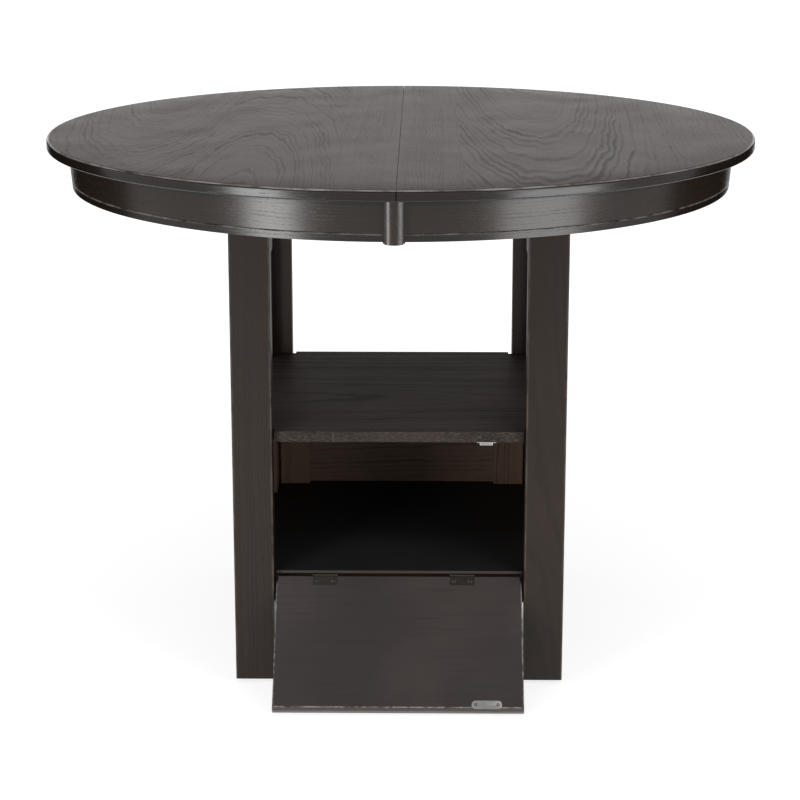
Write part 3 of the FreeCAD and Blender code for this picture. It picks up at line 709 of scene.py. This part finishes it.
def half_top(side, shape, made):
    """Half of the top: a rounded rim turned half round, closed at the seam by a face with peg holes.

    The rim's profile is two quarter circles of the upper and lower rounding, and its ends slope down to the
    seam. The seam's face is a grid in y and height between the holes, a ring from circle to square round
    each hole, and a fan at each end.
    """
    node = f"{side}_top"
    sign = SIDES[side]
    low, high = corners(node)
    peg_low, peg_high = corners("alignment_pegs")
    seam = high[0] if sign < 0 else low[0]
    under, level, radius = low[2], high[2] - HAIR, min(high[1], high[0] - low[0]) - HAIR
    peg = (peg_high[2] - peg_low[2]) / 2
    glued_room = 0.05 * MM
    hole = peg + (shape.peg_room if sign > 0 else glued_room)
    depth = peg_high[0] - abs(seam) + shape.peg_room
    middle, square = (under + level) / 2, (level - under) / 2
    spots = np.array((-1.0, 0.0, 1.0)) * (peg_high[1] - peg)
    flat = radius - shape.rim_upper
    turn = np.radians(np.linspace(0, 360, HOLE_POINTS))
    ray = np.stack((np.cos(turn), np.sin(turn)), axis=-1)
    outline = ray / np.abs(ray).max(axis=1, keepdims=True) * square
    stations = np.unique(outline[:, 0].round(8))
    rings = np.unique(np.concatenate((np.linspace(0, flat, 9), abs(np.add.outer(spots, stations)).ravel()))
                      .round(8))
    ease = shape.seam_ease
    full, _ = rim_profile(rings, under, level, radius, shape, 0.0)
    eased, rim = rim_profile(rings, under, level, radius, shape, ease)
    surface = Surface()
    body = eased_half(full, eased, ease, 181)
    body[..., 0] = seam + sign * body[..., 0]
    surface.add(body, flip=sign > 0)
    outline[:, 1] = np.minimum(outline[:, 1], square - ease)
    heights = np.minimum(middle + stations, level - ease)
    columns = np.unique(np.concatenate((-rings, rings)))
    slack = 0.01 * MM
    stops = np.concatenate(([-flat], np.repeat(spots, 2) + np.tile((-square, square), 3), [flat]))
    for first, last in zip(stops[0::2], stops[1::2]):
        y = columns[(columns > first - slack) & (columns < last + slack)]
        surface.add(np.stack(np.broadcast_arrays(seam, y[:, None], heights), axis=-1), flip=sign < 0)
    for spot in spots:
        ring = np.stack((ray * hole, outline), axis=1) + (spot, middle)
        surface.add(np.concatenate((np.full((*ring.shape[:2], 1), seam), ring), axis=-1), flip=sign > 0)
        surface.add(hole_wall(seam, spot, middle, hole, sign * depth), flip=sign < 0)
    inner = np.stack((np.full_like(heights, flat), heights[::-1]), axis=-1)
    loop = np.concatenate((inner, rim))
    for end in (-1.0, 1.0):
        fan = np.stack((loop, np.broadcast_to((radius - shape.rim_upper / 2, middle), loop.shape)), axis=1)
        fan = np.concatenate((np.full((*fan.shape[:2], 1), seam), fan * (end, 1.0)), axis=-1)
        surface.add(fan, flip=sign * end < 0)
    piece = surface.make(f"{side}_half_top", f"{side}_half", made, 28.0)
    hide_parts(node)


def eased_half(profile, edge, ease, count):
    """Half a turned body with eased ends: (r cos t, r sin t, h), and the edge's profile at each end.

    Between the ends t runs evenly between the two places that lie ease off the seam, where cos t = ease / r.
    """
    radius, height = profile[:, 0], profile[:, 1]
    reach = np.arccos(np.minimum(ease / np.maximum(radius, ease), 0.5))
    turn = np.linspace(-1.0, 1.0, count)[:, None] * reach
    inside = np.stack((np.cos(turn) * radius, np.sin(turn) * radius, np.broadcast_to(height, turn.shape)),
                      axis=-1)
    ends = np.stack((np.zeros_like(edge[:, 0]), edge[:, 0], edge[:, 1]), axis=-1)
    return np.concatenate(((ends * (1.0, -1.0, 1.0))[None], inside, ends[None]))


def hole_wall(seam, spot, middle, hole, depth):
    """A blind hole along X: a wall down to its depth and a flat end."""
    profile = np.array(((hole, 0.0), (hole, depth), (0.0, depth)))
    grid = lathe(profile, HOLE_POINTS)
    return np.stack((seam + grid[..., 2], spot + grid[..., 0], middle + grid[..., 1]), axis=-1)


class TABLE_OT_top(bpy.types.Operator):
    """Makes both halves of the round top"""
    bl_idname = "table.top"
    bl_label = "Round top"

    def execute(self, context):
        shape, finish, _ = shared(context.scene)
        made = top_oak(finish)
        for side in SIDES:
            half_top(side, shape, made)
        return {"FINISHED"}


class TABLE_OT_ring(bpy.types.Operator):
    """Finishes the ring under the top and the strips over its split"""
    bl_idname = "table.ring"
    bl_label = "Ring and mouldings"

    def execute(self, context):
        finish = context.scene.table_finish
        dress(ring_oak(finish), "left_apron", "right_apron")
        dress(moulding_oak(finish), "front_moulding", "rear_moulding")
        return {"FINISHED"}


class TABLE_OT_slides(bpy.types.Operator):
    """Finishes the wooden slides and the pegs"""
    bl_idname = "table.slides"
    bl_label = "Slides and pegs"

    def execute(self, context):
        made = bare_hardwood(context.scene.table_finish)
        dress(made, "alignment_pegs", *(f"{end}_slide_rail" for end in ENDS),
              *(f"{side}_{end}_runner" for end in ENDS for side in SIDES))
        return {"FINISHED"}


class TABLE_OT_frame(bpy.types.Operator):
    """Finishes the legs, their blocks and the rails, and makes the glides"""
    bl_idname = "table.frame"
    bl_label = "Legs and rails"

    def execute(self, context):
        shape, finish, _ = shared(context.scene)
        made = frame_oak(finish)
        legs = [f"{end}_{side}" for end in ENDS for side in SIDES]
        dress(made, *(f"{leg}_{piece}" for leg in legs for piece in ("leg", "corner_block", "foot_block")),
              "front_top_rail", "rear_top_rail", "left_top_rail", "right_top_rail")
        plastic = moulded_plastic("glide plastic", finish.plastic)
        for leg in legs:
            glide(leg, shape, plastic)
        return {"FINISHED"}


def glide(leg, shape, made):
    """A glide: a disc whose lower edge is a quarter circle, with a shallow dish underneath."""
    low, high = corners(f"{leg}_glide")
    radius, tall = (high[0] - low[0]) / 2, high[2] - low[2]
    foot = arc((radius - shape.glide_round, shape.glide_round), shape.glide_round, -90, 0, 8)
    hollow = 0.8 * MM
    dish = np.array(((0.0, hollow), (radius * 0.42, hollow), (radius * 0.5, 0.0)))
    profile = np.concatenate((dish, foot, ((radius, tall), (0.0, tall))))
    surface = Surface()
    grid = lathe(profile, 65)
    surface.add(grid + ((low[0] + high[0]) / 2, (low[1] + high[1]) / 2, low[2]), flip=True)
    piece = surface.make(f"{leg}_glide_disc", "base", made)
    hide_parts(f"{leg}_glide")


class TABLE_OT_cabinet(bpy.types.Operator):
    """Finishes the shelf and the cabinet's boards"""
    bl_idname = "table.cabinet"
    bl_label = "Shelf and cabinet"

    def execute(self, context):
        finish = context.scene.table_finish
        dress(shelf_oak(finish), "shelf")
        dress(black_board(finish), "cabinet_floor")
        dress(brown_panel(finish, "cabinet level wood", True), "back_panel", "front_floor_rail",
              "rear_floor_rail")
        dress(brown_panel(finish, "cabinet upright wood", False),
              *(f"{side}_side_panel" for side in SIDES), *(f"{side}_back_cleat" for side in SIDES),
              *(f"{side}_{end}_side_cleat" for side in SIDES for end in ENDS))
        return {"FINISHED"}


def screw(name, spot, axes, radius, body, made):
    """A countersunk screw with a cross recess: height = dome (1 - share ^ 2) - recess * cross.

    cross is one within the recess's arms, with a slope at their sides and ends. Its sizes are shares of
    the head's radius.
    """
    arm_half, arm_slope, arm_end, end_slope = 0.20, 0.06, 0.66, 0.10
    dome, recess, skirt = 0.14, 0.42, 0.5
    turn = np.radians(np.linspace(0, 360, 65))
    share = np.concatenate((np.linspace(0, 1, 17), (1.0, 0.0)))
    x, y = np.outer(np.cos(turn), share) * radius, np.outer(np.sin(turn), share) * radius
    arm, far = np.minimum(abs(x), abs(y)), np.maximum(abs(x), abs(y))
    cross = np.clip((arm_half * radius - arm) / (arm_slope * radius), 0, 1)
    cross = cross * np.clip((arm_end * radius - far) / (end_slope * radius), 0, 1)
    height = dome * radius * (1 - share ** 2) - recess * radius * cross
    height[:, -2:] = -skirt * radius
    surface = Surface()
    surface.add(placed(np.stack((x, y, height), axis=-1), spot, axes))
    surface.make(name, body, made)


def slab(half, bend, thick, edge):
    """A plate on z = 0 with round corners: a point is c + (bend - d)(cos t, sin t).

    c is the nearest corner's centre and d the inset of the profile, which runs from the middle of the
    upper face over a quarter circle at the edge, down the side and back to the middle of the lower face.
    """
    count = 13
    turn = np.radians(np.linspace(0, 90, count) + np.array(((0,), (90,), (180,), (270,)))).ravel()
    signs = np.repeat(((1, 1), (-1, 1), (-1, -1), (1, -1)), count, axis=0)
    turn, signs = np.append(turn, turn[0]), np.append(signs, signs[:1], axis=0)
    rim = arc((bend - edge, thick - edge), edge, 90, 0, 6)
    profile = np.concatenate((rim, ((bend, 0.0),)))
    ring = np.stack((np.cos(turn), np.sin(turn)), axis=-1)[:, None] * profile[:, :1]
    ring = ring + (signs * (np.asarray(half) - bend))[:, None]
    grid = np.concatenate((ring, np.broadcast_to(profile[:, 1:], (len(turn), len(profile), 1))), axis=-1)
    middle = np.zeros((len(turn), 1, 3))
    return np.concatenate((middle + (0, 0, thick), grid, middle), axis=1)


def strike_plate(shape, axes, bright, heads):
    """The strike plate: a slab with round ends, and a screw at each end."""
    low, high = local_box("strike_plate", axes)
    half = (high - low) / 2
    foot = np.array((*(low + high)[:2] / 2, low[2]))
    surface = Surface()
    surface.add(placed(slab(half[:2], half[1], 2 * half[2], shape.plate_edge), axes @ foot, axes))
    piece = surface.make("strike_plate_shaped", "drop_front", bright)
    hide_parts("strike_plate")
    for end, sign in SIDES.items():
        spot = foot + (sign * (half[0] - 0.95 * half[1]), 0.0, 2 * half[2])
        screw(f"strike_plate_{end}_screw", axes @ spot, axes, shape.screw_head * 0.85, "drop_front", heads)


def magnet_catch(shape, bright, heads):
    """The magnet catch under the shelf: a thin flange with two screws, a housing and two pole plates."""
    low, high = corners("magnet_catch")
    half, tall = (high - low)[:2] / 2, (high - low)[2]
    spot = np.array((*(low + high)[:2] / 2, high[2]))
    thick, flange_bend, housing_bend = 1.2 * MM, 3.0 * MM, 1.2 * MM
    pole_half, pole_bend, pole_edge = 0.45 * MM, 0.4 * MM, 0.2 * MM
    surface = Surface()
    surface.add(placed(slab(half, flange_bend, thick, shape.plate_edge), spot, DOWNWARD))
    housing = slab(half * (0.66, 0.86), housing_bend, 0.97 * tall, shape.plate_edge)
    surface.add(placed(housing, spot, DOWNWARD))
    plate = slab((half[0] * 0.58, pole_half), pole_bend, half[1] * 0.19, pole_edge)
    for share in (0.42, 0.76):
        surface.add(placed(plate, spot - (0.0, half[1] * 0.80, tall * share), FORWARD))
    piece = surface.make("magnet_catch_shaped", "base", bright)
    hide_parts("magnet_catch")
    for end, sign in SIDES.items():
        place = spot + (sign * half[0] * 0.83, 0.0, -thick)
        screw(f"magnet_catch_{end}_screw", place, DOWNWARD, shape.screw_head * 0.7, "base", heads)


class TABLE_OT_drop_front(bpy.types.Operator):
    """Finishes the drop front and its hinges, and makes the catch, its plate and the screws"""
    bl_idname = "table.drop_front"
    bl_label = "Drop front"

    def execute(self, context):
        shape, finish, _ = shared(context.scene)
        dress(door_paint(finish), "door_panel")
        dark = brushed_metal("dark hinge metal", finish.hinge, 0.40)
        heads = brushed_metal("screw metal", finish.screws, 0.34)
        bright = brushed_metal("bright steel", finish.steel, 0.34)
        axes = door_axes()
        for side in SIDES:
            dress(dark, f"{side}_cabinet_leaf", f"{side}_door_leaf", f"{side}_hinge_pin")
            hinge_screws(side, axes, shape.screw_head, heads)
        strike_plate(shape, axes, bright, dark)
        magnet_catch(shape, bright, heads)
        return {"FINISHED"}


def hinge_screws(side, axes, radius, made):
    """Two screws in each leaf of a hinge: in the door's inner face and up into the cabinet floor."""
    low, high = corners(f"{side}_hinge_pin")
    pin = (low + high) / 2
    leaf = corners(f"{side}_cabinet_leaf")[1]
    leaf_thickness = 1.2 * MM
    reach = (leaf[1] - pin[1]) * 0.60
    under = leaf[2] - leaf_thickness
    for end, sign in SIDES.items():
        along = 0.32 * sign * (high[0] - low[0])
        spot = pin + axes @ np.array((along, reach, 0.0))
        screw(f"{side}_door_leaf_{end}_screw", spot, axes, radius, "drop_front", made)
        spot = np.array((pin[0] + along, pin[1] + reach, under))
        screw(f"{side}_cabinet_leaf_{end}_screw", spot, DOWNWARD, radius, "base", made)


# Stage

# Each lamp's name, spot, target, width and height in metres, and the setting with its power
LAMPS = (
    ("key", (-1.09, -1.49, 0.48), (-0.21, -0.53, 0.48), (0.46, 0.9), "key"),
    ("fill", (1.22, -1.39, 0.48), (0.24, -0.53, 0.48), (0.8, 0.9), "fill"),
    ("left_upper", (-0.95, -1.60, 2.3), (-0.2, -0.6, 0.9), (0.5, 0.5), "upper"),
    ("right_upper", (1.10, -1.50, 2.3), (0.25, -0.6, 0.9), (0.7, 0.5), "upper"),
    ("overhead", (0.0, 0.3, 3.4), (0.0, 0.0, 0.9), (2.4, 2.4), "overhead"),
)


def ray_masks(net):
    """Masks from 0 to 1 of the camera's own rays, and of reflected or refracted ones."""
    camera, mirror, through = [net.node("ShaderNodeLightPath", output=f"Is {kind} Ray")
                               for kind in ("Camera", "Glossy", "Transmission")]
    return camera, (mirror + through).least(1.0) * (1.0 - camera)


def flat_sheet(name, spots, made):
    """A sheet of one face from its four corners."""
    mesh = bpy.data.meshes.new(name)
    mesh.from_pydata(spots, [], [(0, 1, 2, 3)])
    mesh.materials.append(made)
    sheet = bpy.data.objects.new(name, mesh)
    bpy.context.scene.collection.objects.link(sheet)
    return sheet


def studio_floor():
    """A wide pale floor that stays white to the camera apart from the object's shadow."""
    size, grey = 60.0, 0.42
    made, net = material("studio floor")
    camera, glossy = ray_masks(net)
    x, y, _ = net.place()
    reach = (x * x + y * y) ** 0.5
    away = net.step(reach, 0.9, 2.6, 0.77, 0.97)
    shine = net.step(reach, 1.2, 2.7, 0.95, 0.42)
    matt = net.node("ShaderNodeBsdfDiffuse", None, {"Color": (grey, grey, grey, 1.0)})
    glow = net.node("ShaderNodeEmission", None, {"Color": (1.0, 1.0, 1.0, 1.0),
                                                 "Strength": camera * away + glossy * shine})
    net.output(net.node("ShaderNodeAddShader", None, {0: matt, 1: glow}))
    floor = flat_sheet("studio_floor", [(-size, -size, 0), (size, -size, 0), (size, size, 0),
                                        (-size, size, 0)], made)


def dark_flag(side):
    """A dark card beside the table that only reflections see, as in a photographer's room."""
    across, front, back, top = SIDES[side] * 1.55, -0.1, 2.2, 1.15
    made, net = material(f"{side} flag")
    cloth = net.mix(net.noise(net.place(), 40.0, 2.0), (0.01, 0.01, 0.01), (0.02, 0.02, 0.02))
    net.output(net.node("ShaderNodeBsdfDiffuse", None, {"Color": cloth}))
    flag = flat_sheet(f"{side}_flag", [(across, front, 0), (across, back, 0), (across, back, top),
                                       (across, front, top)], made)
    flag.visible_camera = False
    flag.visible_diffuse = False
    flag.visible_shadow = False


def studio_sky(strength):
    """A pale room: white where the camera or a reflection looks level, and a soft grey overhead."""
    world = bpy.data.worlds.new("studio")
    bpy.context.scene.world = world
    net = Net(world)
    camera, glossy = ray_masks(net)
    upward = net.node("ShaderNodeSeparateXYZ", None, {0: net.node("ShaderNodeTexCoord", output="Generated")},
                      "Z")
    shade = net.step(upward, 0.05, 0.30, 1.14, 0.18)
    plain = (1.0 - camera) * (1.0 - glossy) * strength
    hue = net.mix(glossy, (1.0, 1.0, 1.0), (1.0, 0.965, 0.95))
    light = net.node("ShaderNodeBackground", None, {"Color": hue,
                                                    "Strength": camera + glossy * shade + plain})
    net.output(light, "World")


def soft_lamp(name, spot, target, size, power):
    """A rectangular soft box at a spot, turned to a target."""
    data = bpy.data.lights.new(name, "AREA")
    data.shape = "RECTANGLE"
    data.size, data.size_y = size
    data.energy = power
    lamp = bpy.data.objects.new(name, data)
    lamp.visible_camera = False
    axes = frame_of(np.subtract(spot, target), (-(spot[1] - target[1]), spot[0] - target[0], 0.0))
    lamp.matrix_world = Matrix.Translation(spot) @ Matrix(axes.tolist()).to_4x4()
    bpy.context.scene.collection.objects.link(lamp)


class TABLE_OT_stage(bpy.types.Operator):
    """Sets the floor, the lamps and the camera"""
    bl_idname = "table.stage"
    bl_label = "Stage"

    def execute(self, context):
        stage = context.scene.table_stage
        context.scene.view_settings.view_transform = "Standard"
        studio_floor()
        studio_sky(stage.sky)
        for side in SIDES:
            dark_flag(side)
        for name, spot, target, size, power in LAMPS:
            soft_lamp(name, spot, target, size, getattr(stage, power))
        data = bpy.data.cameras.new("camera")
        data.sensor_width = 36.0
        data.lens = stage.lens
        data.shift_y = stage.rise
        camera = bpy.data.objects.new("camera", data)
        camera.location = (stage.aside, -stage.distance, stage.height)
        camera.rotation_euler = (math.pi / 2 - stage.pitch, 0.0, stage.turn)
        context.scene.collection.objects.link(camera)
        context.scene.camera = camera
        return {"FINISHED"}


class TABLE_PT_panel(bpy.types.Panel):
    """Lists the table's operators"""
    bl_idname = "TABLE_PT_panel"
    bl_label = "Round storage table"
    bl_space_type = "VIEW_3D"
    bl_region_type = "UI"
    bl_category = "Table"

    def draw(self, context):
        for operator in OPERATORS:
            self.layout.operator(operator.bl_idname)
        for group in shared(context.scene):
            for name in group.bl_rna.properties.keys()[2:]:
                self.layout.prop(group, name)


OPERATORS = (TABLE_OT_stage, TABLE_OT_top, TABLE_OT_ring, TABLE_OT_slides, TABLE_OT_frame,
             TABLE_OT_cabinet, TABLE_OT_drop_front)
GROUPS = {"table_shape": TableShape, "table_finish": TableFinish, "table_stage": TableStage}


def register():
    """Registers the settings, the operators and the panel."""
    for name, group in GROUPS.items():
        bpy.utils.register_class(group)
        setattr(bpy.types.Scene, name, PointerProperty(type=group))
    for item in (*OPERATORS, TABLE_PT_panel):
        bpy.utils.register_class(item)


def unregister():
    """Takes out what register put in."""
    for item in (TABLE_PT_panel, *reversed(OPERATORS)):
        bpy.utils.unregister_class(item)
    for name, group in GROUPS.items():
        delattr(bpy.types.Scene, name)
        bpy.utils.unregister_class(group)


def main():
    """Runs the operators in order."""
    register()
    for operator in OPERATORS:
        group, name = operator.bl_idname.split(".")
        getattr(getattr(bpy.ops, group), name)()


if __name__ == "__main__":
    main()
